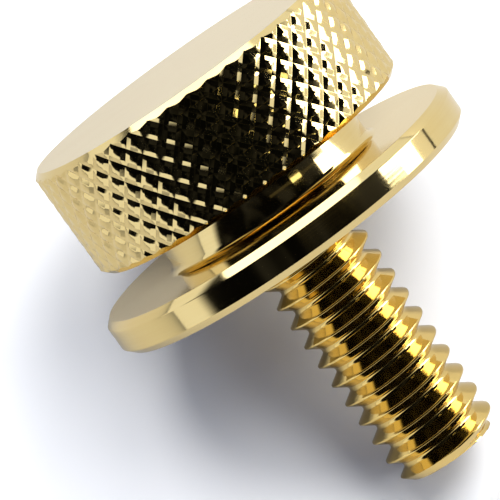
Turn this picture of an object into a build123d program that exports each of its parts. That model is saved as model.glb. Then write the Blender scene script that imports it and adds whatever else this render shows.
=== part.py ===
from build123d import *
from math import ceil, cos, pi, radians, sin, tan
import os

# Thumb screw that holds a seat: a knurled head, a smooth neck, a thin wide flange
# and a threaded shank, all turned from one bar of brass.
# The part stands on the flat face of its head, at Z = 0, with its axis along Z
# and the tip of the thread at the top. Lengths are in millimetres.

# Knurled head
head_diameter = 19.05
head_height = 6.5
head_rest_chamfer = 0.35
head_neck_chamfer = 0.35

# Diamond knurl: grooves of both hands round the side of the head, with a flat left on each
# diamond. The pitch and the flat's length are measured along the axis.
knurl_count = 48
knurl_pitch = 1.38
knurl_depth = 0.11
knurl_flat_length = 0.62

# Smooth neck between head and flange
neck_diameter = 12.5
neck_height = 2.1

# Flange that presses on the seat bracket
flange_diameter = 22
flange_thickness = 2.05
flange_chamfer = 0.4

# Quarter inch coarse thread, 20 turns to the inch
thread_diameter = 6.3
thread_pitch = 1.27
thread_angle = 60
shank_length = 14.5
tip_chamfer = 0.55
tip_chamfer_angle = 45

# The flats that stand for one turn of the thread
facets_per_turn = 32

# Plain stretch of the nominal diameter under the flange, where the threading tool stops
shoulder_diameter = 6.35
shoulder_length = 0.9

# The unified thread form keeps five eighths of a full V, with a crest flat of an eighth pitch
v_share_kept = 5 / 8
crest_flat_share = 1 / 8
flank_slope = tan(radians(thread_angle / 2))
full_v_height = thread_pitch / (2 * flank_slope)
thread_depth = full_v_height * v_share_kept
crest_flat = thread_pitch * crest_flat_share
flank_height = thread_depth * flank_slope
root_flat = thread_pitch - crest_flat - 2 * flank_height
crest_radius = thread_diameter / 2
root_radius = crest_radius - thread_depth

# Heights of the shoulders above the head's flat face
neck_base = head_height
flange_base = neck_base + neck_height
seat_face = flange_base + flange_thickness
tip = seat_face + shank_length

# How far joined pieces and trimming outlines reach past the surface that they meet
overlap = 0.1

# Rows of diamonds beyond the head's height, which its two end faces cut away
spare_rows = 4


def polygon(corners):
    return Face(Wire.make_polygon(corners, close=True))


def turned(outline):
    """Solid of revolution from a list of (radius, height) corners."""
    return Solid.revolve(polygon([(radius, 0, height) for radius, height in outline]), 360, Axis.Z)


def outward(turn):
    """Unit vector away from the axis, at a turn counted in knurl diamonds."""
    angle = 2 * pi * turn / knurl_count
    return Vector(cos(angle), sin(angle), 0)


def crossing(turn, height):
    """Point where two knurl grooves cross."""
    return outward(turn) * (head_diameter / 2 - knurl_depth) + Vector(0, 0, height)


def diamond(turn, height):
    """Flat and four slopes of one diamond: a pyramid over four crossings, cut off at the flat."""
    flat_radius = head_diameter / 2
    flat_share = knurl_flat_length / knurl_pitch
    peak_radius = flat_radius + knurl_depth * flat_share / (1 - flat_share)
    away = outward(turn)
    peak = away * peak_radius + Vector(0, 0, height)
    corners = [
        crossing(turn + 1 / 2, height),
        crossing(turn, height + knurl_pitch / 2),
        crossing(turn - 1 / 2, height),
        crossing(turn, height - knurl_pitch / 2),
    ]
    flat = []
    for corner in corners:
        edge = corner - peak
        flat.append(peak + edge * ((flat_radius - peak_radius) / edge.dot(away)))
    faces = [polygon(flat)]
    for first, second in ((0, 1), (1, 2), (2, 3), (3, 0)):
        faces.append(polygon([corners[first], corners[second], flat[second], flat[first]]))
    return faces


def end_cap(turn, height, point_height):
    """Two triangles from the free point and side corners of one end diamond to the axis."""
    centre = Vector(0, 0, point_height)
    point = crossing(turn, point_height)
    return [
        polygon([centre, crossing(turn - 1 / 2, height), point]),
        polygon([centre, point, crossing(turn + 1 / 2, height)]),
    ]


def knurl_band():
    """Closed band of diamonds, centred on the head and longer than it is high.

    Rows lie half a pitch apart, and every second one is shifted by half a diamond, so that
    neighbours share their crossings.
    """
    row_step = knurl_pitch / 2
    row_count = ceil(head_height / row_step) + spare_rows
    first_height = (head_height - (row_count - 1) * row_step) / 2
    last_height = first_height + (row_count - 1) * row_step
    faces = []
    for row in range(row_count):
        height = first_height + row * row_step
        shift = row % 2 / 2
        for index in range(knurl_count):
            faces.extend(diamond(index + shift, height))
    last_shift = (row_count - 1) % 2 / 2
    for index in range(knurl_count):
        faces.extend(end_cap(index, first_height, first_height - row_step))
        faces.extend(end_cap(index + last_shift, last_height, last_height + row_step))
    return Solid(Shell(faces))


def blank_corner(ring, side):
    """Corner of a ring with two sides to each diamond; its radius is to the middle of a side."""
    radius, height = ring
    reach = radius / cos(pi / (2 * knurl_count))
    return outward(side / 2 + 1 / 4) * reach + Vector(0, 0, height)


def head_blank():
    """Many-sided blank with chamfered ends, one side to each column of diamonds."""
    radius = head_diameter / 2
    reach = radius + overlap
    rings = [
        (radius - head_rest_chamfer, 0),
        (reach, head_rest_chamfer + overlap),
        (reach, head_height - head_neck_chamfer - overlap),
        (radius - head_neck_chamfer, head_height),
    ]
    sides = range(2 * knurl_count)
    faces = []
    for lower, upper in zip(rings, rings[1:]):
        for side in sides:
            faces.append(polygon([
                blank_corner(lower, side),
                blank_corner(lower, side + 1),
                blank_corner(upper, side + 1),
                blank_corner(upper, side),
            ]))
    faces.append(polygon([blank_corner(rings[0], side) for side in sides]))
    faces.append(polygon([blank_corner(rings[-1], side) for side in sides]))
    return Solid(Shell(faces))


def head():
    """Knurled band, faced at both ends and chamfered."""
    return knurl_band() & head_blank()


def collar():
    """Neck and flange, with the neck let into the head."""
    neck_radius = neck_diameter / 2
    flange_radius = flange_diameter / 2
    return turned([
        (0, neck_base - overlap),
        (neck_radius, neck_base - overlap),
        (neck_radius, flange_base),
        (flange_radius - flange_chamfer, flange_base),
        (flange_radius, flange_base + flange_chamfer),
        (flange_radius, seat_face - flange_chamfer),
        (flange_radius - flange_chamfer, seat_face),
        (0, seat_face),
    ])


def threaded_rod(bottom, top):
    """Rod with a right-handed thread, whose two ends lie beyond the bottom and top heights.

    One pitch of its outline climbs the axis in small steps. The last point of the outline meets
    the first point of the next turn.
    """
    outline = [
        (root_radius, 0),
        (root_radius, root_flat),
        (crest_radius, root_flat + flank_height),
        (crest_radius, root_flat + flank_height + crest_flat),
        (root_radius, thread_pitch),
    ]
    first = bottom - thread_pitch
    rise = thread_pitch / facets_per_turn
    steps = ceil((top - first) / rise)

    def point(step, index):
        radius, height = outline[index]
        angle = 2 * pi * step / facets_per_turn
        return Vector(radius * cos(angle), radius * sin(angle), first + step * rise + height)

    faces = []
    for step in range(steps):
        for index in range(len(outline) - 1):
            near, far = point(step, index), point(step + 1, index)
            far_above, near_above = point(step + 1, index + 1), point(step, index + 1)
            if outline[index][0] == outline[index + 1][0]:
                faces.append(polygon([near, far, far_above, near_above]))
            else:
                faces.append(polygon([near, far, far_above]))
                faces.append(polygon([near, far_above, near_above]))
    last = len(outline) - 1
    for end_step, first_step, edge in ((0, 0, 0), (steps, steps - facets_per_turn, last)):
        centre = Vector(0, 0, first + end_step * rise + thread_pitch / 2)
        for step in range(first_step, first_step + facets_per_turn):
            faces.append(polygon([centre, point(step, edge), point(step + 1, edge)]))
        faces.append(polygon([centre] + [point(end_step, index) for index in range(last + 1)]))
    return Solid(Shell(faces))


def shank():
    """Threaded rod with a chamfered tip, and the plain shoulder in which its thread runs out."""
    bottom = seat_face - overlap
    reach = crest_radius + overlap
    chamfer_height = (tip_chamfer + overlap) * tan(radians(tip_chamfer_angle))
    envelope = turned([
        (0, bottom),
        (reach, bottom),
        (reach, tip - chamfer_height),
        (crest_radius - tip_chamfer, tip),
        (0, tip),
    ])
    shoulder_radius = shoulder_diameter / 2
    shoulder_end = seat_face + shoulder_length
    run_out_depth = shoulder_radius - root_radius + overlap
    shoulder = turned([
        (0, bottom),
        (shoulder_radius, bottom),
        (shoulder_radius, shoulder_end),
        (shoulder_radius - run_out_depth, shoulder_end + run_out_depth),
        (0, shoulder_end + run_out_depth),
    ])
    return (threaded_rod(bottom, tip + overlap) & envelope) + shoulder


seat_knob = (head() + collar() + shank()).solid()

os.makedirs("parts", exist_ok=True)
export_step(seat_knob, "parts/seat_knob.step")
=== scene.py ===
from math import ceil, cos, floor, pi, radians, sin, tan

import bmesh
import bpy
from mathutils import Matrix, Vector


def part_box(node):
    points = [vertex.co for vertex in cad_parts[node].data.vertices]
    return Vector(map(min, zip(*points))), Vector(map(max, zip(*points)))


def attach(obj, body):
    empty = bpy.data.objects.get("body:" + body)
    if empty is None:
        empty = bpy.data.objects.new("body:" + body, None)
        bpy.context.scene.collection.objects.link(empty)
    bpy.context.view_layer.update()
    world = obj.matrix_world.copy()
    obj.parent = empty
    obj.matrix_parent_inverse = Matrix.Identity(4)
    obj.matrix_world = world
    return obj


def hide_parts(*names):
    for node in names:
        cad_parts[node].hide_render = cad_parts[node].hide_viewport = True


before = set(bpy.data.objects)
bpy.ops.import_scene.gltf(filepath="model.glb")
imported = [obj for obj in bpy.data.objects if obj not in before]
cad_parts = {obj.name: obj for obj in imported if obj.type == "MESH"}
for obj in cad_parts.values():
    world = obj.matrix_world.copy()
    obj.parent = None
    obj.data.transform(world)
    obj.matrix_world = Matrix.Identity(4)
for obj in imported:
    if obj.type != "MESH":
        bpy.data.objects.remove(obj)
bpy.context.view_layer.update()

# A finer mesh of the same form stands for the CAD solid: its knurl, thread and edges are rounded,
# and it has the gold plate. Height and width come from the frame.
# The knob stands on its head, but the photographed one lies on a card. So the camera looks up
# from below the floor, which is seen from above only, and the card is seen from below only.

# Lengths are in millimetres until a point goes into a mesh, and MM turns them into metres
MM = 0.001
NODE = "seat_knob"

# Knurled head, which stands on its flat face at Z = 0
HEAD_RADIUS = 9.525
HEAD_HEIGHT = 6.5
HEAD_CHAMFER = 0.35

# Diamond knurl. Pitch and length of a diamond's flat land are measured along the axis, and the
# roundings of grooves and land edges are shares of the slope between them.
KNURL_COUNT = 48
KNURL_PITCH = 1.38
KNURL_DEPTH = 0.11
LAND_LENGTH = 0.62
LAND_CROWN = 0.02
SLOPE_SHARE = 1 - LAND_LENGTH / KNURL_PITCH
GROOVE_ROUNDING = 0.05
LAND_EDGE_ROUNDING = 0.08

# Rows of diamonds beyond the head's height, as in the solid, which the end faces cut away
SPARE_ROWS = 4

# Neck, flange and the plain shoulder under it
NECK_RADIUS = 6.25
NECK_HEIGHT = 2.1
FLANGE_THICKNESS = 2.05
FLANGE_CHAMFER = 0.4
SHOULDER_RADIUS = 3.175
SHOULDER_LENGTH = 0.9
NECK_FILLET = 0.45
CORNER_FILLET = 0.15
EDGE_FILLET = 0.05
FLANGE_BASE = HEAD_HEIGHT + NECK_HEIGHT
SEAT_FACE = FLANGE_BASE + FLANGE_THICKNESS

# Right-handed thread, which keeps five eighths of a full V. Its crests and roots are cut
# narrower than the solid's, because their fillets widen them.
CREST_RADIUS = 3.15
THREAD_PITCH = 1.27
THREAD_ANGLE = 60
THREAD_DEPTH = THREAD_PITCH / (2 * tan(radians(THREAD_ANGLE / 2))) * 5 / 8
ROOT_RADIUS = CREST_RADIUS - THREAD_DEPTH
CREST_WIDTH = 0.09
ROOT_WIDTH = 0.24
CREST_FILLET = 0.04
ROOT_FILLET = 0.22
TIP_CHAMFER = 0.55

# The solid's thread starts inside the flange, with a root a quarter of a pitch wide. The middle
# of that root is where a turn starts here.
THREAD_OVERLAP = 0.1
FIRST_ROOT = SEAT_FACE - THREAD_OVERLAP - THREAD_PITCH + THREAD_PITCH / 8

# Mesh steps: round the axis, along a fillet and along a fillet of the thread
COLUMNS = 160
FILLET_STEPS = 4
THREAD_FILLET_STEPS = 3

# Edges sharper than this many degrees aren't shaded smooth
SHARP_ANGLE = 35

# Points nearer than this, in metres, count as one, and as level with an end face
TOUCHING = 1e-7

# Camera, from the fit to the photograph: the image is 500 pixels wide, and the axis runs down
# to the right, from the head to the tip. The target lies at a height of the axis and to its
# left, as seen with the tip up.
CAMERA_AZIMUTH = 248.4
CAMERA_ELEVATION = -8.6
AXIS_SLOPE = 54.35
PIXELS_PER_MM = 18.86
IMAGE_SIZE = 500
TARGET_HEIGHT = 10.0
TARGET_LEFT = 2.455
LENS = 300
SENSOR = 36

# Gold plate: two shades, and a deeper one on the thread, which comes in between two heights
# above the flange's lower face
GOLD_DEEP = (0.76, 0.585, 0.25)
GOLD_PALE = (0.83, 0.69, 0.35)
GOLD_ON_THREAD = (0.80, 0.60, 0.22)
THREAD_TINT_HEIGHTS = (-0.07, 0.43)
ROUGHNESS = (0.06, 0.1)

# Rings that the turning tool left, which drift a little round the part, painted rays of highlight
# on the faces, clouds and grain
RING_WIDTH = 0.16
RING_DEPTH = 0.01
RING_RELIEF = 0.04
RING_DRIFT = 0.03
PAINTED_RAY_SCALE = 2.2
CLOUD_WIDTH = 3.5
GRAIN_WIDTH = 0.12
STREAK_DETAIL = 3
CLOUD_DETAIL = 2

# Nearly all of a noise lies in this range. The shares say how much the painted highlight rays and
# clouds count in the colour, and grain in the gloss.
NOISE_RANGE = (0.3, 0.7)
PAINTED_RAY_SHARE = 0.65
CLOUD_SHARE = 0.25
GRAIN_SHARE = 0.5

WHITE = (1, 1, 1)

# Card on which the photographed knob lies: degrees by which it leans from the axis, the place
# where it passes behind the axis, half its side, and its colour as the metal shows it
CARD_TILT = 27.13
CARD_BEHIND = 10.8
CARD_HEIGHT = 10.2
CARD_REACH = 800
CARD_IN_METAL = (0.58, 0.55, 0.49)

# Level at which the card gets light from the world and from what the metal reflects, and the
# blue tint of that light
LEVEL_ON_CARD = 0.19
SHADOW_TINT = (0.8, 0.96, 1.4)

# Floor with a hole under the head
FLOOR_COLOUR = (0.9, 0.9, 0.9)
FLOOR_HOLE = 9.1
FLOOR_RADIUS = 3000
FLOOR_COLUMNS = 96

# Dark ceiling, which grows light between two angles from the card's normal, with faint patches
CEILING_EDGE = (69, 77)
CEILING_LIGHT = 0.002
PATCH_LIGHT = 0.02
PATCH_SCALE = 3
PATCH_RANGE = (0.45, 0.7)
CEILING_RADIUS = 900
CEILING_RINGS = 32

# Upright cards that the metal reflects: azimuths, heights, distance, strength and colour
PANELS = (
    ("softbox_right", (72, 103), (-260, 700), 600, 6, WHITE),
    ("softbox_low", (56, 73), (2, 26.7), 120, 6, WHITE),
    ("line_right", (79.3, 81.3), (11.2, 13), 24, 0.02, WHITE),
    ("small_lamp", (22.5, 32.5), (9.5, 10.4), 24, 2.2, (1, 0.9, 0.5)),
    ("dim_card", (0, 62), (21.8, 24.8), 121, 0.07, (1, 0.85, 0.5)),
)
PANEL_STEPS = 12

# Round cards that the metal reflects: azimuth and elevation, half width in degrees, distance
# and strength
DISCS = (
    ("softbox_head", (0, -81), 28, 300, 2.5),
    ("pale_head", (104, -60), 17, 400, 1),
)
ROUND_STEPS = 64

# Lamps that throw the shadow on the card: degrees round the card's normal, from the head's side
# to the right, degrees from the normal, size as a share of the distance, and share of a white
# card's brightness. Their distance is in metres.
LAMPS = (
    ("lamp_top", 5, 25, 0.4, 0.44),
    ("lamp_right", 80, 27, 0.5, 0.43),
    ("lamp_low_right", 64, 54, 0.7, 0.42),
    ("lamp_tip", 120, 44, 0.5, 0.18),
)
LAMP_DISTANCE = 0.6

# Sun behind the card, which lights the floor for the views from above
FLOOR_LAMP_ELEVATION = 60
FLOOR_LAMP_WIDTH = 30
FLOOR_LAMP_SHARE = 0.9


def rounded(corners, fillets, steps):
    """Points of an open outline whose inner corners are arcs of the given radii."""
    points = [Vector(corners[0])]
    for index in range(1, len(corners) - 1):
        corner = Vector(corners[index])
        before = (Vector(corners[index - 1]) - corner).normalized()
        after = (Vector(corners[index + 1]) - corner).normalized()
        half = before.angle(after) / 2
        radius = fillets[index - 1]
        reach = radius / tan(half)
        centre = corner + (before + after).normalized() * radius / sin(half)
        start = (corner + before * reach - centre).normalized()
        end = (corner + after * reach - centre).normalized()
        for step in range(steps + 1):
            points.append(centre + start.slerp(end, step / steps) * radius)
    points.append(Vector(corners[-1]))
    return points


def place(radius, angle, height):
    """Point in metres."""
    return Vector((radius * cos(angle), radius * sin(angle), height)) * MM


def split_along(bm, field):
    """Cuts the faces along the line where the field changes sign, so that it becomes an edge."""
    values = {vert: field(vert.co / MM) for vert in bm.verts}
    cuts = set()
    for edge in list(bm.edges):
        near, far = edge.verts
        if values[near] * values[far] < 0:
            share = values[near] / (values[near] - values[far])
            cuts.add(bmesh.utils.edge_split(edge, near, share)[1])
    for face in list(bm.faces):
        corners = [vert for vert in face.verts if vert in cuts]
        if len(corners) == 2 and not bm.edges.get(corners):
            bmesh.utils.face_split(face, *corners)


def level_with(element, height):
    """Whether an edge or a face lies at one height."""
    return all(abs(vert.co.z - height * MM) < TOUCHING for vert in element.verts)


def soft_step(value, low_rounding, high_rounding):
    """Ramp from 0 at 0 to 1 at 1, level beyond, with its two corners rounded."""
    if value < low_rounding:
        return value * value / (2 * low_rounding) + low_rounding / 2
    if value > 1 + high_rounding:
        return 1.0
    if value > 1 - high_rounding:
        return 1 - (1 + high_rounding - value) ** 2 / (4 * high_rounding)
    return value


def knurl_level(position):
    """Level between two grooves of one hand, from 0 in a groove to 1 midway."""
    share = position - floor(position)
    return 2 * min(share, 1 - share)


def knurl_radius(along, across):
    """Radius of the knurled surface, where the grooves of both hands lie at whole numbers."""
    level = min(knurl_level(along), knurl_level(across))
    rise = soft_step(level / SLOPE_SHARE, GROOVE_ROUNDING, LAND_EDGE_ROUNDING)
    inward = max(level - SLOPE_SHARE, 0) / (1 - SLOPE_SHARE)
    crown = LAND_CROWN * (1 - inward) ** 2
    return HEAD_RADIUS - KNURL_DEPTH * (1 - rise) - crown * rise


def knurl_steps():
    """Places of the mesh lines between two grooves."""
    edge = SLOPE_SHARE / 2
    rounding = edge * LAND_EDGE_ROUNDING
    half = [0, edge * GROOVE_ROUNDING, edge - rounding, edge, edge + rounding]
    return half + [0.5] + [1 - step for step in reversed(half[1:])]


def outside_chamfers(point):
    """Distance of a point beyond the head's chamfers, whose cones run on past the end faces."""
    return point.xy.length - HEAD_RADIUS + HEAD_CHAMFER - min(point.z, HEAD_HEIGHT - point.z)


def knurled_band():
    """Side of the head, meshed along its grooves, chamfered and cut off at both end faces."""
    bm = bmesh.new()
    steps = knurl_steps()
    count = len(steps)
    around = KNURL_COUNT * count
    row_step = KNURL_PITCH / 2
    rows = ceil(HEAD_HEIGHT / row_step) + SPARE_ROWS
    start = (HEAD_HEIGHT - (rows - 1) * row_step) / 2 + row_step
    lowest = floor(-start / row_step) - 1
    highest = ceil((HEAD_HEIGHT - start) / row_step) + 1
    verts = {}

    def vert(first, second):
        turns = first // around
        key = (first - turns * around, second - turns * around)
        if key not in verts:
            along = key[0] // count + steps[key[0] % count]
            across = key[1] // count + steps[key[1] % count]
            angle = 2 * pi * (along + across) / 2 / KNURL_COUNT
            height = start + KNURL_PITCH * (along - across) / 2
            verts[key] = bm.verts.new(place(knurl_radius(along, across), angle, height))
        return verts[key]

    def mesh_diamond(first_corner, second_corner):
        for first in range(first_corner, first_corner + count):
            for second in range(second_corner, second_corner + count):
                near = [vert(first, second), vert(first + 1, second)]
                far = [vert(first + 1, second + 1), vert(first, second + 1)]
                bm.faces.new(near + far)

    for cell in range(KNURL_COUNT):
        for row in range(lowest, highest + 1):
            mesh_diamond(cell * count, (cell - row) * count)
    split_along(bm, outside_chamfers)
    for corner in bm.verts:
        point = corner.co / MM
        excess = outside_chamfers(point)
        if excess > 0:
            corner.co.xy *= (point.xy.length - excess) / point.xy.length
    for height, side in ((0, -1), (HEAD_HEIGHT, 1)):
        bmesh.ops.bisect_plane(
            bm,
            geom=bm.verts[:] + bm.edges[:] + bm.faces[:],
            plane_co=(0, 0, height * MM),
            plane_no=(0, 0, side),
            dist=TOUCHING,
            clear_outer=True,
        )
    return bm


def thread_outline():
    """Outline of one pitch of the thread as (height, radius), from root middle to root middle."""
    corners = [
        (0, ROOT_RADIUS),
        (ROOT_WIDTH / 2, ROOT_RADIUS),
        ((THREAD_PITCH - CREST_WIDTH) / 2, CREST_RADIUS),
        ((THREAD_PITCH + CREST_WIDTH) / 2, CREST_RADIUS),
        (THREAD_PITCH - ROOT_WIDTH / 2, ROOT_RADIUS),
        (THREAD_PITCH, ROOT_RADIUS),
    ]
    fillets = [ROOT_FILLET, CREST_FILLET, CREST_FILLET, ROOT_FILLET]
    return rounded(corners, fillets, THREAD_FILLET_STEPS)


def threaded_shank(bottom, tip):
    """Thread meshed along its helix, from a ring round the plain shoulder to the tip's end."""
    bm = bmesh.new()
    outline = thread_outline()
    rows = len(outline) - 1
    first = floor((bottom - FIRST_ROOT) / THREAD_PITCH) - 1
    last = ceil((tip - FIRST_ROOT) / THREAD_PITCH) + 1
    verts = {}

    def vert(row, column):
        if column == COLUMNS:
            row, column = row + rows, 0
        if (row, column) not in verts:
            turn = column / COLUMNS
            height, radius = outline[row % rows]
            height += FIRST_ROOT + THREAD_PITCH * (row // rows + turn)
            verts[row, column] = bm.verts.new(place(radius, 2 * pi * turn, height))
        return verts[row, column]

    for row in range(first * rows, last * rows):
        for column in range(COLUMNS):
            lower = [vert(row, column), vert(row, column + 1)]
            upper = [vert(row + 1, column + 1), vert(row + 1, column)]
            bm.faces.new(lower + upper)

    shoulder_end = SEAT_FACE + SHOULDER_LENGTH

    def past_shoulder(point):
        return point.z - shoulder_end

    def shoulder_radius(point):
        return SHOULDER_RADIUS - max(past_shoulder(point), 0)

    def chamfer_radius(point):
        return CREST_RADIUS - TIP_CHAMFER + tip - point.z

    split_along(bm, lambda point: point.xy.length - shoulder_radius(point))
    split_along(bm, lambda point: point.xy.length - chamfer_radius(point))
    split_along(bm, past_shoulder)
    for corner in bm.verts:
        point = corner.co / MM
        point.z = min(max(point.z, bottom), tip)
        radius = max(point.xy.length, shoulder_radius(point))
        radius = min(radius, chamfer_radius(point))
        point.xy *= radius / point.xy.length
        corner.co = point * MM
    flat = [face for face in bm.faces if level_with(face, bottom) or level_with(face, tip)]
    bmesh.ops.delete(bm, geom=flat, context="FACES")
    return bm


def turned(outline, columns=COLUMNS):
    """Surface of revolution, open at both ends, of an outline of (radius, height) points."""
    bm = bmesh.new()
    rings = []
    for radius, height in outline:
        ring = [place(radius, 2 * pi * column / columns, height) for column in range(columns)]
        rings.append([bm.verts.new(point) for point in ring])
    for lower, upper in zip(rings, rings[1:]):
        for column in range(columns):
            after = (column + 1) % columns
            bm.faces.new([lower[column], lower[after], upper[after], upper[column]])
    return bm


def collar(ring_height, flange_radius):
    """Neck, flange and shoulder, from the head's end face to a ring round the shoulder."""
    corners = [
        (HEAD_RADIUS - 2 * HEAD_CHAMFER, HEAD_HEIGHT),
        (NECK_RADIUS, HEAD_HEIGHT),
        (NECK_RADIUS, FLANGE_BASE),
        (flange_radius - FLANGE_CHAMFER, FLANGE_BASE),
        (flange_radius, FLANGE_BASE + FLANGE_CHAMFER),
        (flange_radius, SEAT_FACE - FLANGE_CHAMFER),
        (flange_radius - FLANGE_CHAMFER, SEAT_FACE),
        (SHOULDER_RADIUS, SEAT_FACE),
        (SHOULDER_RADIUS, ring_height),
    ]
    fillets = [CORNER_FILLET, NECK_FILLET] + [EDGE_FILLET] * 4 + [CORNER_FILLET]
    return turned(rounded(corners, fillets, FILLET_STEPS))


def knob_mesh(tip, flange_radius):
    """The whole knob as one closed mesh."""
    ring_height = SEAT_FACE + SHOULDER_LENGTH / 2
    whole = bmesh.new()
    for part in (
        knurled_band(),
        collar(ring_height, flange_radius),
        threaded_shank(ring_height, tip),
    ):
        mesh = bpy.data.meshes.new("part")
        part.to_mesh(mesh)
        whole.from_mesh(mesh)
        bpy.data.meshes.remove(mesh)
        part.free()
    bmesh.ops.remove_doubles(whole, verts=whole.verts, dist=TOUCHING)
    bmesh.ops.dissolve_degenerate(whole, dist=TOUCHING, edges=whole.edges)
    for height in (0, HEAD_HEIGHT, tip):
        rims = [edge for edge in whole.edges if edge.is_boundary and level_with(edge, height)]
        bmesh.ops.triangle_fill(whole, use_beauty=True, edges=rims)
    bmesh.ops.recalc_face_normals(whole, faces=whole.faces)
    mesh = bpy.data.meshes.new(NODE + "_fine")
    whole.to_mesh(mesh)
    whole.free()
    return mesh


def make_knob():
    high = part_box(NODE)[1]
    mesh = knob_mesh(high.z / MM, high.x / MM)
    mesh.polygons.foreach_set("use_smooth", [True] * len(mesh.polygons))
    mesh.set_sharp_from_angle(angle=radians(SHARP_ANGLE))
    piece = bpy.data.objects.new(NODE + "_fine", mesh)
    bpy.context.scene.collection.objects.link(piece)
    weighted = piece.modifiers.new("even_faces", "WEIGHTED_NORMAL")
    weighted.keep_sharp = True
    return piece


def feed(tree, socket, value):
    """Gives an input a number, a vector, a colour of three numbers or another node's output."""
    if isinstance(value, bpy.types.NodeSocket):
        tree.links.new(value, socket)
    elif socket.type == "RGBA":
        socket.default_value = (*value, 1)
    else:
        socket.default_value = value


def node(tree, kind, inputs, **settings):
    """New node, with its settings and what goes into its inputs by name or number."""
    made = tree.nodes.new(kind)
    for name, value in settings.items():
        setattr(made, name, value)
    for key, value in inputs.items():
        feed(tree, made.inputs[key], value)
    return made


def compute(tree, operation, *values):
    """Result of a math node, as a socket."""
    return node(tree, "ShaderNodeMath", dict(enumerate(values)), operation=operation).outputs[0]


def compute_vector(tree, operation, *values):
    """Result of a vector math node, as a socket."""
    made = node(tree, "ShaderNodeVectorMath", dict(enumerate(values)), operation=operation)
    return made.outputs["Value" if operation == "DOT_PRODUCT" else "Vector"]


def blend(tree, share, first, second):
    """Number that goes from the first to the second with the share, as a socket."""
    return node(tree, "ShaderNodeMix", {0: share, 2: first, 3: second}).outputs[0]


def blend_colour(tree, share, first, second):
    """Colour that goes from the first to the second with the share, as a socket."""
    inputs = {0: share, 6: first, 7: second}
    return node(tree, "ShaderNodeMix", inputs, data_type="RGBA").outputs[2]


def spread(tree, value, source, target, shape="LINEAR"):
    """Value of one range mapped onto another and held inside it, as a socket."""
    inputs = {
        "Value": value,
        "From Min": source[0],
        "From Max": source[1],
        "To Min": target[0],
        "To Max": target[1],
    }
    made = node(tree, "ShaderNodeMapRange", inputs, interpolation_type=shape)
    return made.outputs["Result"]


def noise(tree, spot, scale, detail):
    """Noise between 0 and 1, as a socket."""
    inputs = {"Vector": spot, "Scale": scale, "Detail": detail}
    made = node(tree, "ShaderNodeTexNoise", inputs)
    return spread(tree, made.outputs["Fac"], NOISE_RANGE, (0, 1))


def gold_plate():
    """Polished plate over faint rings from turning, with a colour and a gloss that vary a little, and
    painted highlight rays in the colour.
    """
    material = bpy.data.materials.new("gold_plate")
    material.use_nodes = True
    tree = material.node_tree
    spot = node(tree, "ShaderNodeTexCoord", {}).outputs["Object"]
    x, y, height = node(tree, "ShaderNodeSeparateXYZ", {0: spot}).outputs
    squares = compute(tree, "ADD", compute(tree, "MULTIPLY", x, x), compute(tree, "MULTIPLY", y, y))
    ring_place = node(tree, "ShaderNodeCombineXYZ", {
        "X": compute(tree, "SQRT", squares),
        "Y": height,
        "Z": compute(tree, "MULTIPLY", x, RING_DRIFT),
    })
    outward = compute_vector(tree, "NORMALIZE", compute_vector(tree, "MULTIPLY", spot, (1, 1, 0)))
    rings = noise(tree, ring_place.outputs[0], 1 / (RING_WIDTH * MM), STREAK_DETAIL)
    # Painted highlight: radial streaks in the colour, like the rays into which a highlight fans out on
    # a turned face
    rays = noise(tree, outward, PAINTED_RAY_SCALE, STREAK_DETAIL)
    clouds = noise(tree, spot, 1 / (CLOUD_WIDTH * MM), CLOUD_DETAIL)
    grain = noise(tree, spot, 1 / (GRAIN_WIDTH * MM), CLOUD_DETAIL)

    # The colour's tone mixes the turning rings and random clouds with the painted highlight rays
    tone_and_painted_rays = blend(tree, CLOUD_SHARE, blend(tree, PAINTED_RAY_SHARE, rings, rays), clouds)
    tint_range = [(SEAT_FACE + tint_height) * MM for tint_height in THREAD_TINT_HEIGHTS]
    on_thread = spread(tree, height, tint_range, (0, 1), "SMOOTHSTEP")
    gold = blend_colour(tree, tone_and_painted_rays, GOLD_DEEP, GOLD_PALE)
    dullness = blend(tree, GRAIN_SHARE, clouds, grain)
    relief = node(tree, "ShaderNodeBump", {
        "Strength": RING_RELIEF,
        "Distance": RING_DEPTH * MM,
        "Height": rings,
    })

    shader = tree.nodes["Principled BSDF"]
    feed(tree, shader.inputs["Metallic"], 1)
    feed(tree, shader.inputs["Base Color"], blend_colour(tree, on_thread, gold, GOLD_ON_THREAD))
    feed(tree, shader.inputs["Roughness"], spread(tree, dullness, (0, 1), ROUGHNESS))
    feed(tree, shader.inputs["Normal"], relief.outputs["Normal"])
    return material


def toward(azimuth, elevation):
    """Direction at degrees round from the camera's side, to its right, and up the axis."""
    azimuth, elevation = radians(azimuth), radians(elevation)
    camera = radians(CAMERA_AZIMUTH)
    front = Vector((sin(camera), -cos(camera), 0))
    right = Vector((-cos(camera), -sin(camera), 0))
    level = front * cos(azimuth) + right * sin(azimuth)
    return level * cos(elevation) + Vector((0, 0, sin(elevation)))


CARD_NORMAL = toward(0, -CARD_TILT)


def square_to(direction, reference):
    """Two directions square to the first and to each other, one square to the reference too."""
    side = direction.cross(reference).normalized()
    return side, side.cross(direction)


def spokes(direction, reference):
    """Directions all round the first and square to it."""
    side, up = square_to(direction, reference)
    turns = [2 * pi * step / ROUND_STEPS for step in range(ROUND_STEPS)]
    return [side * cos(turn) + up * sin(turn) for turn in turns]


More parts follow.
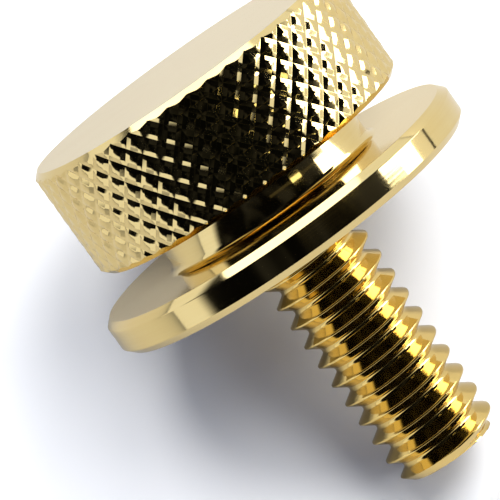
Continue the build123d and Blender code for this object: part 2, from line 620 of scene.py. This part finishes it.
def make_camera():
    back = toward(0, CAMERA_ELEVATION)
    right = toward(90, 0)
    up = right.cross(back)
    slope = radians(AXIS_SLOPE)
    image_right = up * cos(slope) + right * sin(slope)
    image_up = right * cos(slope) - up * sin(slope)
    data = bpy.data.cameras.new("camera")
    data.lens = LENS
    data.sensor_width = SENSOR
    distance = IMAGE_SIZE / PIXELS_PER_MM * LENS / SENSOR
    target = Vector((0, 0, TARGET_HEIGHT)) - right * TARGET_LEFT
    camera = bpy.data.objects.new("camera", data)
    turn = Matrix((image_right, image_up, back)).transposed().to_4x4()
    camera.matrix_world = Matrix.Translation((target + back * distance) * MM) @ turn
    bpy.context.scene.collection.objects.link(camera)
    bpy.context.scene.camera = camera


def stage_object(name, bm, material):
    mesh = bpy.data.meshes.new(name)
    bm.to_mesh(mesh)
    bm.free()
    mesh.materials.append(material)
    piece = bpy.data.objects.new(name, mesh)
    bpy.context.scene.collection.objects.link(piece)
    return piece


def only_reflected(piece):
    piece.visible_camera = False
    piece.visible_diffuse = False
    piece.visible_shadow = False
    piece.visible_transmission = False


def material_of(name, make_surface):
    """Material whose surface is the node that the function makes in its tree."""
    material = bpy.data.materials.new(name)
    material.use_nodes = True
    tree = material.node_tree
    tree.nodes.clear()
    surface = make_surface(tree)
    node(tree, "ShaderNodeOutputMaterial", {"Surface": surface.outputs[0]})
    return material


def off_the_card(tree):
    """1 once a ray has left a matt surface, such as the card, and 0 before, as a socket."""
    depth = node(tree, "ShaderNodeLightPath", {}).outputs["Diffuse Depth"]
    return compute(tree, "GREATER_THAN", depth, 0.5)


def strength_for_ray(tree, strength):
    """The strength, or the weaker level for rays that have left the card, as a socket."""
    return blend(tree, off_the_card(tree), strength, LEVEL_ON_CARD)


def glow(tree, strength, colour=WHITE):
    return node(tree, "ShaderNodeEmission", {
        "Color": colour,
        "Strength": strength_for_ray(tree, strength),
    })


def matt_where(tree, shown, colour):
    """Matt surface where the socket is 1, and clear where it is 0."""
    clear = node(tree, "ShaderNodeBsdfTransparent", {})
    matt = node(tree, "ShaderNodeBsdfDiffuse", {"Color": colour})
    return node(tree, "ShaderNodeMixShader", {0: shown, 1: clear.outputs[0], 2: matt.outputs[0]})


def front_side(tree):
    """1 on the side that the normals point to, and 0 on the other, as a socket."""
    backfacing = node(tree, "ShaderNodeNewGeometry", {}).outputs["Backfacing"]
    return compute(tree, "SUBTRACT", 1, backfacing)


def make_panel(name, azimuths, heights, distance, strength, colour):
    """Upright curved card round the object, seen only in its reflections."""
    bm = bmesh.new()
    columns = []
    for step in range(PANEL_STEPS + 1):
        azimuth = azimuths[0] + (azimuths[1] - azimuths[0]) * step / PANEL_STEPS
        foot = toward(azimuth, 0) * distance
        columns.append([bm.verts.new((foot + Vector((0, 0, height))) * MM) for height in heights])
    for near, far in zip(columns, columns[1:]):
        bm.faces.new([near[0], far[0], far[1], near[1]])
    material = material_of(name, lambda tree: glow(tree, strength, colour))
    only_reflected(stage_object(name, bm, material))


def make_disc(name, centre, spread_angle, distance, strength):
    """Round flat card that faces the object, seen only in its reflections."""
    away = toward(*centre)
    radius = distance * tan(radians(spread_angle))
    bm = bmesh.new()
    rim = [(away * distance + spoke * radius) * MM for spoke in spokes(away, toward(90, 0))]
    bm.faces.new([bm.verts.new(point) for point in rim])
    material = material_of(name, lambda tree: glow(tree, strength))
    only_reflected(stage_object(name, bm, material))


def ceiling_glow(tree):
    """Dark over the card, light beyond the edge, with faint patches."""
    position = node(tree, "ShaderNodeNewGeometry", {}).outputs["Position"]
    away = compute_vector(tree, "NORMALIZE", position)
    angle = compute(tree, "ARCCOSINE", compute_vector(tree, "DOT_PRODUCT", away, CARD_NORMAL))
    edge = [radians(limit) for limit in CEILING_EDGE]
    base = spread(tree, angle, edge, (CEILING_LIGHT, 1), "SMOOTHSTEP")
    texture = node(tree, "ShaderNodeTexNoise", {"Vector": away, "Scale": PATCH_SCALE})
    patches = spread(tree, texture.outputs["Fac"], PATCH_RANGE, (0, PATCH_LIGHT), "SMOOTHSTEP")
    return glow(tree, compute(tree, "ADD", base, patches))


def make_dark_ceiling():
    """Dark dome over the photographed side, seen only in reflections."""
    bm = bmesh.new()
    rings = []
    for ring in range(1, CEILING_RINGS + 1):
        polar = radians(CEILING_EDGE[1]) * ring / CEILING_RINGS
        directions = [
            CARD_NORMAL * cos(polar) + spoke * sin(polar)
            for spoke in spokes(CARD_NORMAL, (0, 0, 1))
        ]
        rings.append([bm.verts.new(away * CEILING_RADIUS * MM) for away in directions])
    top = bm.verts.new(CARD_NORMAL * CEILING_RADIUS * MM)
    for column in range(ROUND_STEPS):
        after = (column + 1) % ROUND_STEPS
        bm.faces.new([top, rings[0][column], rings[0][after]])
        for near, far in zip(rings, rings[1:]):
            bm.faces.new([near[column], far[column], far[after], near[after]])
    only_reflected(stage_object("dark_ceiling", bm, material_of("dark_ceiling", ceiling_glow)))


def make_world():
    """White, and weaker and blue for rays that have left the card."""
    world = bpy.data.worlds.new("world")
    world.use_nodes = True
    tree = world.node_tree
    background = tree.nodes["Background"]
    colour = blend_colour(tree, off_the_card(tree), WHITE, SHADOW_TINT)
    feed(tree, background.inputs["Color"], colour)
    feed(tree, background.inputs["Strength"], strength_for_ray(tree, 1))
    bpy.context.scene.world = world


def make_floor():
    """Pale floor, seen from above only."""
    material = material_of("pale_floor", lambda tree: matt_where(tree, front_side(tree), FLOOR_COLOUR))
    bm = turned([(FLOOR_RADIUS, 0), (FLOOR_HOLE, 0)], FLOOR_COLUMNS)
    piece = stage_object("floor", bm, material)
    piece.visible_glossy = False
    piece.visible_diffuse = False
    piece.visible_shadow = False


def card_surface(tree):
    """Card that shows its front, to the metal and to a camera below the floor."""
    path = node(tree, "ShaderNodeLightPath", {})
    position = node(tree, "ShaderNodeNewGeometry", {}).outputs["Position"]
    height = node(tree, "ShaderNodeSeparateXYZ", {0: position}).outputs["Z"]
    below = compute(tree, "LESS_THAN", height, 0)
    through_floor = compute(tree, "GREATER_THAN", path.outputs["Transparent Depth"], 0.5)
    shown = compute(tree, "MAXIMUM", below, through_floor)
    shown = compute(tree, "MULTIPLY", shown, path.outputs["Is Camera Ray"])
    shown = compute(tree, "MAXIMUM", shown, path.outputs["Is Glossy Ray"])
    shown = compute(tree, "MULTIPLY", shown, front_side(tree))
    colour = blend_colour(tree, path.outputs["Is Glossy Ray"], WHITE, CARD_IN_METAL)
    return matt_where(tree, shown, colour)


def make_backdrop():
    """The card on which the photographed knob lies."""
    side, along = square_to(CARD_NORMAL, (0, 0, 1))
    contact = toward(180, 0) * CARD_BEHIND + Vector((0, 0, CARD_HEIGHT))
    bm = bmesh.new()
    corners = []
    for across, up in ((-1, -1), (1, -1), (1, 1), (-1, 1)):
        corners.append(bm.verts.new((contact + (side * across + along * up) * CARD_REACH) * MM))
    face = bm.faces.new(corners)
    face.normal_update()
    if face.normal.dot(CARD_NORMAL) < 0:
        face.normal_flip()
    card = stage_object("backdrop", bm, material_of("backdrop_card", card_surface))
    card.visible_shadow = False
    card.visible_diffuse = False


def make_lamp(name, kind, away, distance, energy, **settings):
    """Lamp in a direction from the origin, which the metal doesn't show."""
    data = bpy.data.lights.new(name, kind)
    data.energy = energy
    for key, value in settings.items():
        setattr(data, key, value)
    lamp = bpy.data.objects.new(name, data)
    turn = away.to_track_quat("Z", "Y").to_matrix().to_4x4()
    lamp.matrix_world = Matrix.Translation(away * distance) @ turn
    lamp.visible_glossy = False
    bpy.context.scene.collection.objects.link(lamp)


def make_card_lamp(name, around, lean, size, share):
    """Soft lamp over the card, with the power that gives a white card its share of brightness."""
    turn, lean = radians(around), radians(lean)
    right = toward(90, 0)
    head_side = CARD_NORMAL.cross(right)
    side = head_side * cos(turn) + right * sin(turn)
    away = CARD_NORMAL * cos(lean) + side * sin(lean)
    energy = share * (pi * LAMP_DISTANCE) ** 2 / away.dot(CARD_NORMAL)
    width = size * LAMP_DISTANCE
    make_lamp(name, "AREA", away, LAMP_DISTANCE, energy, shape="DISK", size=width)


def make_floor_lamp():
    away = toward(180, FLOOR_LAMP_ELEVATION)
    energy = FLOOR_LAMP_SHARE * pi / away.z
    make_lamp("lamp_floor", "SUN", away, 0, energy, angle=radians(FLOOR_LAMP_WIDTH))


bpy.context.scene.view_settings.view_transform = "Standard"

knob = make_knob()
knob.data.materials.append(gold_plate())
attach(knob, "root")
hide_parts(NODE)

make_world()
make_floor()
make_backdrop()
make_dark_ceiling()
for panel in PANELS:
    make_panel(*panel)
for disc in DISCS:
    make_disc(*disc)
for lamp in LAMPS:
    make_card_lamp(*lamp)
make_floor_lamp()
make_camera()
